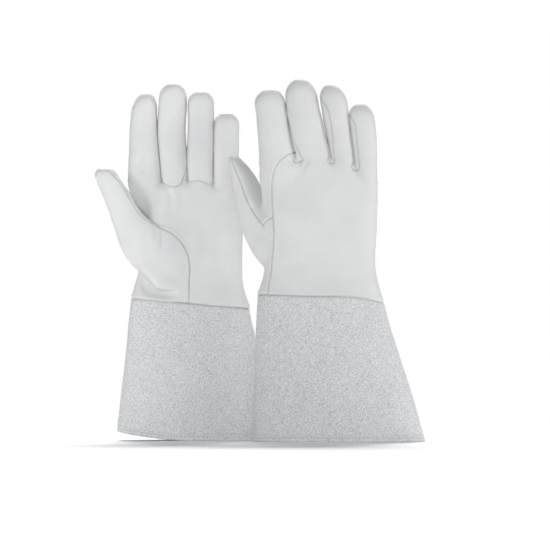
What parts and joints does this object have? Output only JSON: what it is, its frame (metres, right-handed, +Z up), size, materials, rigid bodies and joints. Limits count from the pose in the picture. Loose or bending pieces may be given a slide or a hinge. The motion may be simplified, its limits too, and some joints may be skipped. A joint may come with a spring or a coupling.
{
  "type": "welding gloves",
  "caption": "Pair of long-cuffed welding gloves with fitted grain-leather hands, wing thumbs, fourchette fingers and split-leather gauntlet cuffs.",
  "frame": {"origin": "on the floor under the middle of the pair's bounding box", "axes": "+Z up towards the fingertips, +X across the pair towards the right glove, +Y from the front glove to the rear one"},
  "size_m": [0.3189, 0.131, 0.3508],
  "materials": {
    "grain_leather": "smooth matt grain leather, pale grey-white",
    "split_leather": "napped split leather, pale cool grey"
  },
  "bodies": {
    "left_hand": {"left_palm_panel": "grain_leather", "left_back_panel": "grain_leather", "left_thumb_wing": "grain_leather", "left_cuff_front": "split_leather", "left_cuff_back": "split_leather"},
    "left_index": {"left_index_wrap": "grain_leather", "left_index_fourchette": "grain_leather"},
    "left_middle": {"left_middle_front": "grain_leather", "left_middle_back": "grain_leather", "left_middle_inner_fourchette": "grain_leather", "left_middle_outer_fourchette": "grain_leather"},
    "left_ring": {"left_ring_front": "grain_leather", "left_ring_back": "grain_leather", "left_ring_inner_fourchette": "grain_leather", "left_ring_outer_fourchette": "grain_leather"},
    "left_little": {"left_little_front": "grain_leather", "left_little_back": "grain_leather", "left_little_fourchette": "grain_leather"},
    "left_thumb": {"left_thumb_wrap": "grain_leather", "left_thumb_inner_strip": "grain_leather"},
    "right_hand": {"right_palm_panel": "grain_leather", "right_back_panel": "grain_leather", "right_thumb_wing": "grain_leather", "right_cuff_front": "split_leather", "right_cuff_back": "split_leather"},
    "right_index": {"right_index_wrap": "grain_leather", "right_index_fourchette": "grain_leather"},
    "right_middle": {"right_middle_front": "grain_leather", "right_middle_back": "grain_leather", "right_middle_inner_fourchette": "grain_leather", "right_middle_outer_fourchette": "grain_leather"},
    "right_ring": {"right_ring_front": "grain_leather", "right_ring_back": "grain_leather", "right_ring_inner_fourchette": "grain_leather", "right_ring_outer_fourchette": "grain_leather"},
    "right_little": {"right_little_front": "grain_leather", "right_little_back": "grain_leather", "right_little_fourchette": "grain_leather"},
    "right_thumb": {"right_thumb_wrap": "grain_leather", "right_thumb_inner_strip": "grain_leather"}
  },
  "joints": [
    {"name": "left_index_bend", "type": "hinge", "parent": "left_hand", "child": "left_index", "pos_m": [-0.112, 0.0305, 0.25], "axis": [1, 0, -0.0057], "range_deg": [0, 45], "stiffness_Nm_per_rad": 0.05},
    {"name": "left_middle_bend", "type": "hinge", "parent": "left_hand", "child": "left_middle", "pos_m": [-0.084, 0.0305, 0.251], "axis": [1, 0, 0], "range_deg": [0, 45], "stiffness_Nm_per_rad": 0.05},
    {"name": "left_ring_bend", "type": "hinge", "parent": "left_hand", "child": "left_ring", "pos_m": [-0.058, 0.0305, 0.25], "axis": [0.9999, 0, 0.0112], "range_deg": [0, 45], "stiffness_Nm_per_rad": 0.05},
    {"name": "left_little_bend", "type": "hinge", "parent": "left_hand", "child": "left_little", "pos_m": [-0.0325, 0.0305, 0.25], "axis": [1, 0, 0], "range_deg": [0, 45], "stiffness_Nm_per_rad": 0.05},
    {"name": "left_thumb_bend", "type": "hinge", "parent": "left_hand", "child": "left_thumb", "pos_m": [-0.124, 0.0175, 0.205], "axis": [0.9031, 0, 0.4294], "range_deg": [0, 40], "stiffness_Nm_per_rad": 0.05},
    {"name": "right_index_bend", "type": "hinge", "parent": "right_hand", "child": "right_index", "pos_m": [0.017, -0.0355, 0.268], "axis": [-0.9959, 0, -0.0905], "range_deg": [0, 45], "stiffness_Nm_per_rad": 0.05},
    {"name": "right_middle_bend", "type": "hinge", "parent": "right_hand", "child": "right_middle", "pos_m": [0.0515, -0.0355, 0.27], "axis": [-0.985, 0, -0.1724], "range_deg": [0, 45], "stiffness_Nm_per_rad": 0.05},
    {"name": "right_ring_bend", "type": "hinge", "parent": "right_hand", "child": "right_ring", "pos_m": [0.08, -0.0355, 0.268], "axis": [-0.9887, 0, -0.1496], "range_deg": [0, 45], "stiffness_Nm_per_rad": 0.05},
    {"name": "right_little_bend", "type": "hinge", "parent": "right_hand", "child": "right_little", "pos_m": [0.1023, -0.0355, 0.266], "axis": [-0.9961, 0, -0.088], "range_deg": [0, 45], "stiffness_Nm_per_rad": 0.05},
    {"name": "right_thumb_bend", "type": "hinge", "parent": "right_hand", "child": "right_thumb", "pos_m": [-0.006, -0.0235, 0.223], "axis": [-0.9149, 0, -0.4036], "range_deg": [0, 30], "stiffness_Nm_per_rad": 0.05},
    {"name": "right_glove_slide", "type": "slide", "parent": "left_hand", "child": "right_hand", "axis": [1, 0, 0], "range_m": [0, 0.1]}
  ]
}
